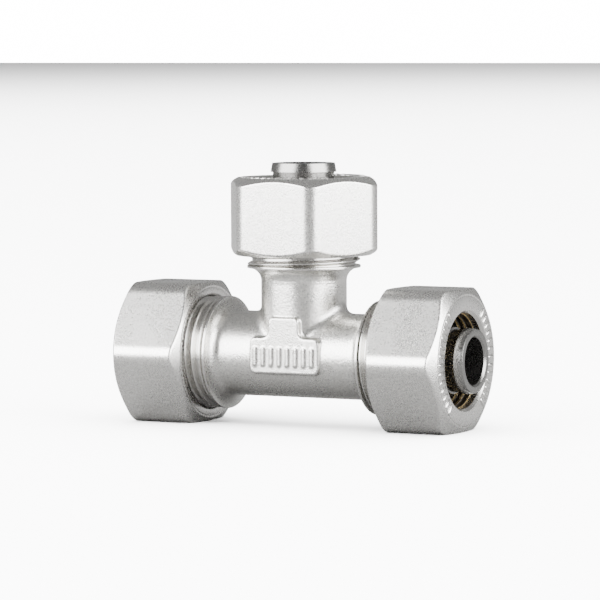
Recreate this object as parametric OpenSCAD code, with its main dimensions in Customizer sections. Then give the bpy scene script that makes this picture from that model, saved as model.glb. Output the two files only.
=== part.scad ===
// Equal tee compression fitting for multilayer pipe: one forged body with three threaded
// ports, and on each port a union nut, a split compression ring, two O-rings and an
// insulating washer. Millimetres. X is the run, Z is the branch, and the fitting stands on
// the lower flats of its two side nuts, with the origin under the centre of the tee.

/* [Pipe] */
// Outside diameter of the pipe that the ports take
pipe_d = 16; // [14:0.5:20]
// Wall thickness of the pipe
pipe_wall = 2; // [1.6:0.1:2.4]

/* [Tee] */
// Distance from the centre of the tee to the tip of each run spigot
run_reach = 33.4; // [29:0.1:45]
// Distance from the centre of the tee to the tip of the branch spigot
branch_reach = 34.1; // [29:0.1:45]
// Outside diameter of the forged tubes
tube_d = 15.2; // [12.6:0.1:18.4]
// Axial length of the concave flare behind each lip
flare_length = 2.3; // [1.8:0.1:4.5]
// Width of the cylindrical land on each lip
lip_land = 0.5; // [0.3:0.05:1]
// How far the lip stands out past the thread's crest
lip_overhang = 0.1; // [0.05:0.05:0.8]
// Thickness of the body's end wall, from the socket to the root of the thread
end_wall = 0.94; // [0.7:0.01:1.5]
// Depth of the socket that the end of the pipe enters
socket_depth = 4.3; // [3:0.1:5.5]

/* [Spigot] */
// Wall of the spigot under an O-ring groove
spigot_wall = 0.7; // [0.5:0.05:1]
// Depth of the O-ring grooves
groove_depth = 1; // [0.8:0.05:1.2]
// Width of the O-ring grooves
groove_width = 1.6; // [1.4:0.05:1.9]
// Distance between the middles of the two O-ring grooves
groove_spacing = 3; // [2.5:0.1:3.6]
// Distance from the tip to the middle of the outer O-ring groove
outer_groove_from_tip = 6.2; // [5.4:0.1:7]
// Length of the conical lead-in at the tip
lead_in_length = 1.6; // [1:0.1:2]
// Length of the undercut neck behind the lead-in
neck_length = 2.4; // [1:0.1:2.8]

/* [Thread and nut] */
// Pitch of the thread
thread_pitch = 1.5; // [1.2:0.1:1.8]
// Thickness of the nut from the crest of the body's thread to its flats
nut_wall = 2.5; // [2.1:0.1:4]
// Length of each nut
nut_length = 13.8; // [12:0.1:17]
// Length of the plain mouth that the pipe passes through
mouth_length = 1.7; // [1:0.1:2.5]
// How far the spigot stands out past a nut that is screwed fully home
tip_stand_out = 3.25; // [2.5:0.05:6]
// Gap between the lip and a nut that is screwed fully home
home_gap = 1.05; // [0.5:0.05:2]
// Turns that the left nut is backed off from home
left_turns_open = 1.5; // [0.5:0.5:2]
// Turns that the right nut is backed off from home
right_turns_open = 1; // [0.5:0.5:2]
// Turns that the top nut is backed off from home
top_turns_open = 0.5; // [0.5:0.5:2]

/* [Seals and ring] */
// Length of the split compression ring
ring_length = 5; // [4:0.1:6]
// Wall of the split ring, from its ribs to its outside
ring_wall = 1.15; // [1:0.05:1.4]
// Width of the slit through the ring
slit_width = 1.5; // [0.8:0.1:2.5]
// Thickness of the O-ring's cord
cord_d = 1.2; // [1:0.05:1.35]
// Thickness of the insulating washer
washer_thickness = 1; // [0.6:0.1:1.6]

/* [Hidden] */
$fn = 96;

// Colours
NICKEL = [0.74, 0.73, 0.70];
SATIN_NICKEL = [0.66, 0.65, 0.63];
BRASS = [0.75, 0.60, 0.32];
EPDM = [0.08, 0.08, 0.08];
PLASTIC = [0.92, 0.91, 0.87];

// Clearances
spigot_clearance = 0.15;   // spigot in the pipe's bore, on the radius
socket_clearance = 0.25;   // pipe in the socket, on the radius
rib_clearance = 0.05;      // ring's ribs on the pipe, on the radius
mouth_clearance = 0.36;    // pipe in the nut's mouth, on the radius
ring_play = 0.05;          // ring in the nut, all round
ring_end_gap = 0.03;       // ring's outer end to the nut's shoulder
seat_gap = 0.1;            // ring's inner end to the body, nut home
washer_clearance = 0.1;    // washer in its seat and in the socket, all round
cord_seat_gap = 0.02;      // O-ring to the floor of its groove
thread_clearance = 0.15;   // between the threads, on the radius
flank_clearance = 0.06;    // between the threads' flanks, along the axis
overcut = 1;               // how far a cut runs past the face that it opens

// Ports, each with its own axis as local Z and the centre of the tee as local origin
LEFT = 0;
RIGHT = 1;
TOP = 2;
PORT_TURN = [[0, -90, 0], [0, 90, 0], [0, 0, 0]];
HEX_TURN = [30, 30, 3];
REACH = [run_reach, run_reach, branch_reach];
TURNS_OPEN = [left_turns_open, right_turns_open, top_turns_open];

// Radii, from the pipe outwards
neck_depth = 0.4;
washer_seat_depth = 0.25;
lead_in_depth = 0.28;
pipe_r = pipe_d / 2;
spigot_r = pipe_r - pipe_wall - spigot_clearance;
groove_floor_r = spigot_r - groove_depth;
bore_r = groove_floor_r - spigot_wall;
neck_r = spigot_r - neck_depth;
washer_seat_r = spigot_r - washer_seat_depth;
tip_r = spigot_r - lead_in_depth;
bore_chamfer = 0.34;
socket_r = pipe_r + socket_clearance;
seat_chamfer = 0.5;
flare_steps = 10;
tube_r = tube_d / 2;
thread_depth = 5 / 8 * cos(30) * thread_pitch;
thread_root_r = socket_r + end_wall;
thread_r = thread_root_r + thread_depth;
lip_r = thread_r + lip_overhang;
nut_flat_r = thread_r + nut_wall;
nut_corner_r = nut_flat_r / cos(30);
axis_height = nut_flat_r;

// Lengths along a port, from the lip
port_length = home_gap + nut_length + tip_stand_out;
thread_length = home_gap + nut_length - mouth_length - ring_end_gap - ring_length - seat_gap;
pilot_length = 0.4;
function lip_z(port) = REACH[port] - port_length;
function end_z(port) = lip_z(port) + thread_length;
function socket_floor_z(port) = end_z(port) - socket_depth;
function nut_z(port) = lip_z(port) + home_gap + TURNS_OPEN[port] * thread_pitch;

// Nut, from its inner end
face_inset = 0.8;
inner_face_inset = 0.6;
nut_face_r = nut_flat_r - face_inset;
nut_inner_face_r = nut_flat_r - inner_face_inset;
nut_bevel = 30;
mouth_r = pipe_r + mouth_clearance;
mouth_chamfer = 0.5;
counterbore_length = 0.5;
counterbore_chamfer = 0.3;
shoulder_n = nut_length - mouth_length;
chamber_n = shoulder_n - ring_end_gap - ring_length - ring_play;

// Split ring, from its inner end
ring_bore_r = pipe_r + rib_clearance;
ring_r = ring_bore_r + ring_wall;
rib_height = 0.3;
ring_groove_r = ring_bore_r + rib_height;
rib_width = 0.45;
rib_spacing = 1.3;
ring_cone_length = 2.2;
ring_cone_drop = 0.45;
ring_cone_r = ring_r - ring_cone_drop;
ring_lip_drop = 0.1;
ring_inner_chamfer = 0.4;
chamber_r = ring_r + ring_play;

// Thread form, as shares of the pitch: root, rising flank, crest, falling flank
external_corners = [0, 1 / 4, 9 / 16, 11 / 16];
internal_trim = flank_clearance / thread_pitch;
internal_corners = [internal_trim, 1 / 4 - internal_trim, 9 / 16 - internal_trim, 11 / 16 + internal_trim];
thread_steps = 36;
thread_bury = 0.2;
near = 0.001;

// Flat pad for the size marking on the front of the tee
pad_height = 0.45;
bar_size = [13.7, 6.4];
bar_centre = [0, 0.3];
stem_size = [6, 6.2];
stem_centre = [-0.1, 4];
pad_corner_r = 1.2;

// Places a part that is drawn along +Z on one of the ports
module on_port(port) {
    translate([0, 0, axis_height])
        rotate(PORT_TURN[port])
            children();
}

// ---- Threads -------------------------------------------------------------------------

// Height of corner number row of the thread at angular step
function row_z(row, step, base, corners) =
    base + thread_pitch * (floor(row / 4) + corners[row % 4] + step / thread_steps);

// Share of the way from root to crest at a height above the foot of the helix
function form_share(phase, corners) =
    let (u = phase - floor(phase - corners[0]))
    u <= corners[1] ? 0
    : u < corners[2] ? (u - corners[1]) / (corners[2] - corners[1])
    : u <= corners[3] ? 1
    : (1 + corners[0] - u) / (1 + corners[0] - corners[3]);

// A closed sleeve whose one wall is a right-hand thread and whose other wall is smooth.
// It runs from z_low to z_high, and datum is a height where the helix starts a turn.
module thread_sleeve(z_low, z_high, datum, corners, root_r, crest_r, smooth_r) {
    base = datum + thread_pitch * (floor((z_low - datum) / thread_pitch) - 2);
    rows = 4 * (ceil((z_high - z_low) / thread_pitch) + 5);
    heights = [for (step = [0:thread_steps - 1])
        [for (row = [0:rows - 1]) min(max(row_z(row, step, base, corners), z_low), z_high)]];
    threaded = [for (step = [0:thread_steps - 1], row = [0:rows - 1])
        let (
            z = heights[step][row],
            share = form_share((z - base) / thread_pitch - step / thread_steps, corners),
            r = root_r + (crest_r - root_r) * share,
            angle = 360 * step / thread_steps
        )
        [r * cos(angle), r * sin(angle), z]];
    smooth = [for (step = [0:thread_steps - 1], z = [z_low, z_high])
        let (angle = 360 * step / thread_steps)
        [smooth_r * cos(angle), smooth_r * sin(angle), z]];
    lowest = [for (step = [0:thread_steps - 1])
        len([for (z = heights[step]) if (z < z_low + near) z]) - 1];
    highest = [for (step = [0:thread_steps - 1])
        rows - len([for (z = heights[step]) if (z > z_high - near) z])];
    outward = crest_r > smooth_r;

    function at(row, step) = step * rows + min(max(row, lowest[step]), highest[step]);
    function past(row, step) = step < thread_steps - 1 ? at(row, step + 1) : at(row + 4, 0);
    function wall(step, end) = thread_steps * rows + 2 * (step % thread_steps) + end;
    function halves(a, b, c, d) = [for (f = [[a, b, c], [a, c, d]])
        if (f[0] != f[1] && f[1] != f[2] && f[2] != f[0]) outward ? f : [f[0], f[2], f[1]]];

    faces = [for (step = [0:thread_steps - 1])
        each concat(
            [for (row = [0:rows - 2])
                each halves(at(row, step), at(row + 1, step), past(row + 1, step), past(row, step))],
            halves(wall(step, 0), wall(step + 1, 0), wall(step + 1, 1), wall(step, 1)),
            halves(wall(step, 0), at(0, step), past(0, step), wall(step + 1, 0)),
            halves(wall(step, 1), wall(step + 1, 1), past(rows - 5, step), at(rows - 5, step))
        )];
    polyhedron(points=concat(threaded, smooth), faces=faces, convexity=10);
}

// ---- Body ----------------------------------------------------------------------------

// Points of the concave flare, a quarter ellipse from the tube to the lip, as [radius, height]
function flare_arc(lip) =
    let (
        rise = lip_r - tube_r,
        foot = lip - lip_land - flare_length
    )
    [for (i = [0:flare_steps])
        let (angle = 90 * i / flare_steps)
        [tube_r + rise * (1 - cos(angle)), foot + flare_length * sin(angle)]];

// Points of one O-ring groove, from the body towards the tip
function groove_points(middle) = [
    [spigot_r, middle - groove_width / 2],
    [groove_floor_r, middle - groove_width / 2],
    [groove_floor_r, middle + groove_width / 2],
    [spigot_r, middle + groove_width / 2],
];

function outer_groove_z(port) = REACH[port] - outer_groove_from_tip;
function inner_groove_z(port) = outer_groove_z(port) - groove_spacing;

// One port turned about its axis: tube, flare, lip, thread core, socket and spigot
module port_turning(port) {
    lip = lip_z(port);
    end = end_z(port);
    tip = REACH[port];
    floor_z = socket_floor_z(port);
    core_r = thread_root_r - thread_bury;
    neck_top = tip - lead_in_length;
    washer_top = floor_z + washer_thickness + washer_clearance;
    rotate_extrude()
        polygon(concat(
            [[0, 0], [tube_r, 0]],
            flare_arc(lip),
            [
                [lip_r, lip],
                [core_r, lip],
                [core_r, end],
                [socket_r + seat_chamfer, end],
                [socket_r, end - seat_chamfer],
                [socket_r, floor_z],
                [washer_seat_r, floor_z],
                [washer_seat_r, washer_top],
                [spigot_r, washer_top],
            ],
            groove_points(inner_groove_z(port)),
            groove_points(outer_groove_z(port)),
            [
                [spigot_r, neck_top - neck_length],
                [neck_r, neck_top - neck_length],
                [neck_r, neck_top],
                [spigot_r, neck_top],
                [tip_r, tip],
                [0, tip],
            ]
        ));
}

// Thread on the outside of one port
module port_thread(port) {
    thread_sleeve(
        lip_z(port) - lip_land / 2,
        end_z(port) - pilot_length,
        lip_z(port),
        external_corners,
        thread_root_r,
        thread_r,
        thread_root_r - 2 * thread_bury
    );
}

// Waterway of one port, with a chamfer at the tip
module waterway(port) {
    cylinder(r=bore_r, h=REACH[port] + overcut);
    translate([0, 0, REACH[port] - bore_chamfer])
        cylinder(r1=bore_r, r2=bore_r + bore_chamfer + overcut, h=bore_chamfer + overcut);
}

// A flat plate in the XZ plane with round corners, from the axis out to the pad's face
module rounded_plate(size, centre) {
    depth = tube_r + pad_height;
    translate([centre[0], 0, centre[1]])
        rotate([90, 0, 0]) {
            translate([-size[0] / 2, -size[1] / 2 + pad_corner_r, 0])
                cube([size[0], size[1] - 2 * pad_corner_r, depth]);
            translate([-size[0] / 2 + pad_corner_r, -size[1] / 2, 0])
                cube([size[0] - 2 * pad_corner_r, size[1], depth]);
            for (x = [-1, 1], y = [-1, 1])
                translate([x * (size[0] / 2 - pad_corner_r), y * (size[1] / 2 - pad_corner_r), 0])
                    cylinder(r=pad_corner_r, h=depth);
        }
}

// T-shaped pad on the front of the tee
module marking_pad() {
    translate([0, 0, axis_height]) {
        rounded_plate(bar_size, bar_centre);
        rounded_plate(stem_size, stem_centre);
    }
}

module tee_body() {
    color(NICKEL)
        difference() {
            union() {
                for (port = [LEFT, RIGHT, TOP])
                    on_port(port) {
                        port_turning(port);
                        port_thread(port);
                    }
                marking_pad();
            }
            for (port = [LEFT, RIGHT, TOP])
                on_port(port)
                    waterway(port);
        }
}

// ---- Nut -----------------------------------------------------------------------------

// Outline that bevels both ends of the hexagon
module nut_envelope() {
    past_corner = nut_corner_r + overcut;
    outer_drop = (past_corner - nut_face_r) * tan(nut_bevel);
    inner_drop = (past_corner - nut_inner_face_r) * tan(nut_bevel);
    rotate_extrude()
        polygon([
            [0, 0],
            [nut_inner_face_r, 0],
            [past_corner, inner_drop],
            [past_corner, nut_length - outer_drop],
            [nut_face_r, nut_length],
            [0, nut_length],
        ]);
}

// Inside of the nut, with the thread left as plain bore
module nut_inside() {
    thread_bore_r = thread_r + thread_clearance + thread_bury;
    rotate_extrude()
        polygon([
            [0, -overcut],
            [thread_bore_r + counterbore_chamfer + overcut, -overcut],
            [thread_bore_r, counterbore_chamfer],
            [thread_bore_r, chamber_n],
            [chamber_r, chamber_n],
            [chamber_r, shoulder_n - ring_cone_length],
            [ring_cone_r + ring_play, shoulder_n],
            [mouth_r, shoulder_n],
            [mouth_r, nut_length - mouth_chamfer],
            [mouth_r + mouth_chamfer + overcut, nut_length + overcut],
            [0, nut_length + overcut],
        ]);
}

// Thread on the inside of the nut, in step with the body's thread when the nut is home
module nut_thread() {
    root_r = thread_r + thread_clearance;
    thread_sleeve(
        counterbore_length,
        chamber_n + thread_bury,
        -home_gap,
        internal_corners,
        thread_root_r + thread_clearance,
        root_r,
        root_r + 2 * thread_bury
    );
}

module compression_nut(port) {
    color(SATIN_NICKEL)
        on_port(port)
            translate([0, 0, nut_z(port)])
                rotate([0, 0, 360 * TURNS_OPEN[port]]) {
                    difference() {
                        intersection() {
                            rotate([0, 0, HEX_TURN[port]])
                                cylinder(r=nut_corner_r, h=nut_length, $fn=6);
                            nut_envelope();
                        }
                        nut_inside();
                    }
                    nut_thread();
                }
}

// ---- Split ring, O-rings and washer ---------------------------------------------------

// Points of the ring's bore, from its outer end inwards: ribs that bite on the pipe
function rib_points() =
    let (count = floor((ring_length - rib_spacing) / rib_spacing))
    [for (i = [1:count])
        let (middle = ring_length - i * rib_spacing)
        each [
            [ring_groove_r, middle + rib_width / 2],
            [ring_bore_r, middle + rib_width / 2],
            [ring_bore_r, middle - rib_width / 2],
            [ring_groove_r, middle - rib_width / 2],
        ]];

module split_ring(port) {
    ring_z = nut_z(port) + shoulder_n - ring_end_gap - ring_length;
    color(BRASS)
        on_port(port)
            translate([0, 0, ring_z])
                difference() {
                    rotate_extrude()
                        polygon(concat(
                            [
                                [ring_groove_r, 0],
                                [ring_r - ring_inner_chamfer, 0],
                                [ring_r, ring_inner_chamfer],
                                [ring_r, ring_length - ring_cone_length],
                                [ring_cone_r, ring_length],
                                [ring_groove_r - ring_lip_drop, ring_length],
                            ],
                            rib_points()
                        ));
                    translate([-slit_width / 2, -ring_r - overcut, -overcut])
                        cube([slit_width, ring_r + overcut, ring_length + 2 * overcut]);
                }
}

module o_ring(port, middle) {
    color(EPDM)
        on_port(port)
            translate([0, 0, middle])
                rotate_extrude()
                    translate([groove_floor_r + cord_seat_gap + cord_d / 2, 0])
                        circle(d=cord_d);
}

module insulating_washer(port) {
    color(PLASTIC)
        on_port(port)
            translate([0, 0, socket_floor_z(port)])
                difference() {
                    cylinder(r=socket_r - washer_clearance, h=washer_thickness);
                    translate([0, 0, -overcut])
                        cylinder(r=washer_seat_r + washer_clearance, h=washer_thickness + 2 * overcut);
                }
}

// ---- Assembly ------------------------------------------------------------------------

tee_body();
compression_nut(LEFT);  // compression_nut_left
compression_nut(RIGHT);  // compression_nut_right
compression_nut(TOP);  // compression_nut_top
split_ring(LEFT);  // split_ring_left
split_ring(RIGHT);  // split_ring_right
split_ring(TOP);  // split_ring_top
o_ring(LEFT, outer_groove_z(LEFT));  // o_ring_outer_left
o_ring(RIGHT, outer_groove_z(RIGHT));  // o_ring_outer_right
o_ring(TOP, outer_groove_z(TOP));  // o_ring_outer_top
o_ring(LEFT, inner_groove_z(LEFT));  // o_ring_inner_left
o_ring(RIGHT, inner_groove_z(RIGHT));  // o_ring_inner_right
o_ring(TOP, inner_groove_z(TOP));  // o_ring_inner_top
insulating_washer(LEFT);  // insulating_washer_left
insulating_washer(RIGHT);  // insulating_washer_right
insulating_washer(TOP);  // insulating_washer_top
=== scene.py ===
"""Looks of an equal tee compression fitting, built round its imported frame.

The tee's forged middle is a smooth blended skin, its three turned ends are lathe work with
rolled threads, and each port carries a union nut, a slit brass ring, two O-rings and a
washer. Shapes are drawn in millimetres along +Z from the crossing of the port axes, then
placed on their port in metres.
"""

import logging
import math
from dataclasses import dataclass, field
from enum import Enum
from typing import Callable

import bpy
import numpy as np
from mathutils import Matrix, Vector


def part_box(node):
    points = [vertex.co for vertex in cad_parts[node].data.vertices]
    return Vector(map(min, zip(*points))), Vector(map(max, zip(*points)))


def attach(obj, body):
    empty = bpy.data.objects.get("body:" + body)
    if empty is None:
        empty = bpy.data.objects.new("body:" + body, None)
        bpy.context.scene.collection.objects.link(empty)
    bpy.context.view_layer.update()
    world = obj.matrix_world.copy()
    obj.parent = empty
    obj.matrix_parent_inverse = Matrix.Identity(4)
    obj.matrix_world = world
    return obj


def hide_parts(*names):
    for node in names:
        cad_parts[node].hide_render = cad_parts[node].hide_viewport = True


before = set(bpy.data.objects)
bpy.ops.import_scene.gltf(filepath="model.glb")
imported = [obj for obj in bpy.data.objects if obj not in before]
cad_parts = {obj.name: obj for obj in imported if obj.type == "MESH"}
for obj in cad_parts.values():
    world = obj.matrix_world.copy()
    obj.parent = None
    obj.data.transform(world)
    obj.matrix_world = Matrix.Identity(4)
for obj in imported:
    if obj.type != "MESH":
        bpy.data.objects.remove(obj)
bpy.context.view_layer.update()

MM = 0.001
log = logging.getLogger("fitting")

Point = tuple[float, float]
Socket = bpy.types.NodeSocket
NodeTree = bpy.types.NodeTree

SHARP_ANGLE = math.radians(38)
SKIN_MARK = 99.0
FAR_OFF = 99.0


# ---- Ports ---------------------------------------------------------------------------


class Side(Enum):
    """The three ports, each with the turn that carries +Z onto its outward axis."""

    LEFT = ("left", -90.0)
    RIGHT = ("right", 90.0)
    TOP = ("top", 0.0)

    @property
    def label(self) -> str:
        """Word that the port's nodes and bodies end in."""
        return self.value[0]

    @property
    def turn(self) -> Matrix:
        """Rotation from the drawing's +Z to the port's outward axis."""
        return Matrix.Rotation(math.radians(self.value[1]), 4, "Y")


@dataclass(frozen=True)
class Port:
    """Where one port and its pieces lie, in millimetres along the port from the centre.

    Attributes:
        side: Which port this is.
        axis_height: Height of the crossing of the axes above the base.
    """

    side: Side
    axis_height: float

    @property
    def place(self) -> Matrix:
        """Transform from drawing millimetres to the frame's metres."""
        lift = Matrix.Translation((0, 0, self.axis_height * MM))
        return lift @ self.side.turn @ Matrix.Scale(MM, 4)

    def span(self, node: str) -> Point:
        """Nearest and farthest distance of a node along the port.

        Args:
            node: Name of a node, without the port's label.

        Returns:
            The two distances in millimetres.
        """
        name = node if node == "tee_body" else f"{node}_{self.side.label}"
        inverse = self.place.inverted()
        ends = [(inverse @ corner).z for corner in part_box(name)]
        return min(ends), max(ends)


def centre_height() -> float:
    """Height of the port axes above the base, in millimetres, from the right washer."""
    low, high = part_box("insulating_washer_right")
    return (low.z + high.z) / 2 / MM


# ---- Finishes ------------------------------------------------------------------------


@dataclass(frozen=True)
class Finish:
    """One procedural finish.

    Attributes:
        name: Name of the material.
        colour: Base colour.
        metallic: 1 for metal, 0 for the rest.
        roughness: Middle of the roughness.
        roughness_spread: How far the roughness wanders from the middle.
        grain: Size of the surface grain in millimetres.
        grain_depth: Depth of the grain in millimetres.
        tint_spread: How far the colour wanders, as a share.
        lathe_lines: Depth of the turning marks in millimetres, 0 for none.
    """

    name: str
    colour: tuple[float, float, float]
    metallic: float
    roughness: float
    roughness_spread: float
    grain: float
    grain_depth: float
    tint_spread: float = 0.04
    lathe_lines: float = 0.0

    def build(self) -> bpy.types.Material:
        """Make the material.

        Returns:
            The new material.
        """
        material = bpy.data.materials.new(self.name)
        material.use_nodes = True
        tree = material.node_tree
        shader = tree.nodes["Principled BSDF"]
        shader.inputs["Metallic"].default_value = self.metallic
        place = tree.nodes.new("ShaderNodeTexCoord").outputs["Object"]
        fine = self._noise(tree, place, self.grain, 3.0)
        coarse = self._noise(tree, place, self.grain * 4.0, 2.0)
        broad = self._noise(tree, place, 6.0, 2.0)
        height = self._blend(tree, fine, coarse, 0.35)
        self._colour(tree, shader, fine)
        self._roughness(tree, shader, fine, broad)
        normal = self._bump(tree, height, self.grain_depth, None)
        if self.lathe_lines:
            normal = self._bump(tree, self._turning(tree), self.lathe_lines, normal)
        tree.links.new(normal, shader.inputs["Normal"])
        return material

    @staticmethod
    def _noise(tree: NodeTree, place: Socket, size: float, detail: float) -> Socket:
        """Noise with features of about a size in millimetres; returns its Fac socket."""
        node = tree.nodes.new("ShaderNodeTexNoise")
        node.inputs["Scale"].default_value = 1.0 / (size * MM)
        node.inputs["Detail"].default_value = detail
        node.inputs["Roughness"].default_value = 0.55
        tree.links.new(place, node.inputs["Vector"])
        return node.outputs["Fac"]

    @staticmethod
    def _blend(tree: NodeTree, first: Socket, second: Socket, share: float) -> Socket:
        """Mix two heights; returns the result socket."""
        node = tree.nodes.new("ShaderNodeMix")
        node.inputs["Factor"].default_value = share
        tree.links.new(first, node.inputs["A"])
        tree.links.new(second, node.inputs["B"])
        return node.outputs["Result"]

    @staticmethod
    def _range(tree: NodeTree, value: Socket, low: float, high: float) -> Socket:
        """Spread a noise's usual span over low to high; returns the result socket."""
        node = tree.nodes.new("ShaderNodeMapRange")
        node.inputs["From Min"].default_value = 0.3
        node.inputs["From Max"].default_value = 0.7
        node.inputs["To Min"].default_value = low
        node.inputs["To Max"].default_value = high
        tree.links.new(value, node.inputs["Value"])
        return node.outputs["Result"]

    def _colour(self, tree: NodeTree, shader: bpy.types.Node, fine: Socket) -> None:
        """Link a colour that wanders at random with the grain and is darker in its hollows, as painted
        shade.
        """
        # Random grain tone, with painted shade: the colour drops where the bump's hollows lie.
        gain = self._range(tree, fine, 1.0 - self.tint_spread, 1.0 + self.tint_spread)
        node = tree.nodes.new("ShaderNodeVectorMath")
        node.operation = "SCALE"
        node.inputs[0].default_value = self.colour
        tree.links.new(gain, node.inputs["Scale"])
        tree.links.new(node.outputs["Vector"], shader.inputs["Base Color"])

    def _roughness(
        self, tree: NodeTree, shader: bpy.types.Node, fine: Socket, broad: Socket,
    ) -> None:
        """Link a roughness that wanders with the grain and from place to place."""
        mixed = self._blend(tree, fine, broad, 0.5)
        low = self.roughness - self.roughness_spread
        high = self.roughness + self.roughness_spread
        tree.links.new(self._range(tree, mixed, low, high), shader.inputs["Roughness"])

    @staticmethod
    def _bump(tree: NodeTree, height: Socket, depth: float, normal: Socket | None) -> Socket:
        """Bump by a height in millimetres over an earlier normal; returns the normal."""
        node = tree.nodes.new("ShaderNodeBump")
        node.inputs["Strength"].default_value = 1.0
        node.inputs["Distance"].default_value = depth * MM
        tree.links.new(height, node.inputs["Height"])
        if normal is not None:
            tree.links.new(normal, node.inputs["Normal"])
        return node.outputs["Normal"]

    @staticmethod
    def _turning(tree: NodeTree) -> Socket:
        """Fine rings along the lathe's travel, on the piece's own UV map."""
        travel = tree.nodes.new("ShaderNodeUVMap")
        travel.uv_map = Lathe.UV_NAME
        stretch = tree.nodes.new("ShaderNodeMapping")
        stretch.inputs["Scale"].default_value = (3.0, 14.0, 1.0)
        noise = tree.nodes.new("ShaderNodeTexNoise")
        noise.inputs["Scale"].default_value = 1.0
        noise.inputs["Detail"].default_value = 2.0
        tree.links.new(travel.outputs["UV"], stretch.inputs["Vector"])
        tree.links.new(stretch.outputs["Vector"], noise.inputs["Vector"])
        return noise.outputs["Fac"]


BLASTED_NICKEL = Finish("blasted_nickel", (0.65, 0.64, 0.615), 1.0, 0.29, 0.05, 0.32, 0.055, 0.20)
SATIN_NICKEL = Finish("satin_nickel", (0.70, 0.69, 0.668), 1.0, 0.28, 0.04, 0.32, 0.026, 0.20)
TURNED_NICKEL = Finish("turned_nickel", (0.55, 0.54, 0.52), 1.0, 0.25, 0.05, 0.5, 0.004, 0.03, 0.006)
# Darker copy of the turned nickel: painted shade on the spigot, its grooves and the bore.
SPIGOT_SHADED_NICKEL = Finish("spigot_shaded_nickel", (0.25, 0.246, 0.238), 1.0, 0.27, 0.05, 0.5, 0.004, 0.05, 0.006)
RING_BRASS = Finish("ring_brass", (0.70, 0.55, 0.30), 1.0, 0.30, 0.06, 0.4, 0.004, 0.05, 0.006)
# Dark copy of the ring brass: painted shade in the ring's grooves and on its rib flanks.
SHADED_BRASS = Finish("shaded_brass", (0.075, 0.064, 0.05), 1.0, 0.42, 0.08, 0.4, 0.006, 0.15, 0.006)
SEAL_RUBBER = Finish("seal_rubber", (0.022, 0.022, 0.024), 0.0, 0.48, 0.08, 0.35, 0.004, 0.15)
WASHER_PLASTIC = Finish("washer_plastic", (0.82, 0.81, 0.77), 0.0, 0.50, 0.06, 0.3, 0.003, 0.03)


class Palette:
    """The materials of the fitting, each built once."""

    def __init__(self) -> None:
        """Build every finish."""
        self.blasted = BLASTED_NICKEL.build()
        self.satin = SATIN_NICKEL.build()
        self.turned = TURNED_NICKEL.build()
        self.spigot = SPIGOT_SHADED_NICKEL.build()
        self.brass = RING_BRASS.build()
        self.brass_shade = SHADED_BRASS.build()
        self.rubber = SEAL_RUBBER.build()
        self.plastic = WASHER_PLASTIC.build()


# ---- Meshes --------------------------------------------------------------------------


def filleted(points: list[Point], radius: float, steps: int = 4) -> list[Point]:
    """Round every corner of a closed outline.

    Args:
        points: Corners of the outline.
        radius: Radius of the rounding, less where an edge is short.
        steps: Spans in each rounding.

    Returns:
        The points of the rounded outline.
    """
    out: list[Point] = []
    corners = [np.array(p, float) for p in points]
    for i, corner in enumerate(corners):
        before, after = corners[i - 1] - corner, corners[(i + 1) % len(corners)] - corner
        reach_b, reach_a = np.linalg.norm(before), np.linalg.norm(after)
        before, after = before / reach_b, after / reach_a
        half = math.acos(float(np.clip(before @ after, -1, 1))) / 2
        if half > math.radians(80):
            out.append(tuple(corner))
            continue
        cut = min(radius / math.tan(half), 0.45 * reach_b, 0.45 * reach_a)
        start, end = corner + before * cut, corner + after * cut
        for step in range(steps + 1):
            t = step / steps
            out.append(tuple((1 - t) ** 2 * start + 2 * t * (1 - t) * corner + t * t * end))
    return out


def new_object(name: str, mesh: bpy.types.Mesh) -> bpy.types.Object:
    """Put a mesh in the scene as an object at the origin."""
    piece = bpy.data.objects.new(name, mesh)
    bpy.context.scene.collection.objects.link(piece)
    return piece


def joined(name: str, pieces: list[bpy.types.Object]) -> bpy.types.Object:
    """Join several objects into one.

    Args:
        name: Name of the result.
        pieces: The objects; the first keeps its UV map.

    Returns:
        The joined object.
    """
    bpy.ops.object.select_all(action="DESELECT")
    for piece in pieces:
        piece.select_set(True)
    bpy.context.view_layer.objects.active = pieces[0]
    bpy.ops.object.join()
    pieces[0].name = name
    pieces[0].data.name = name
    return pieces[0]


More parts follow.
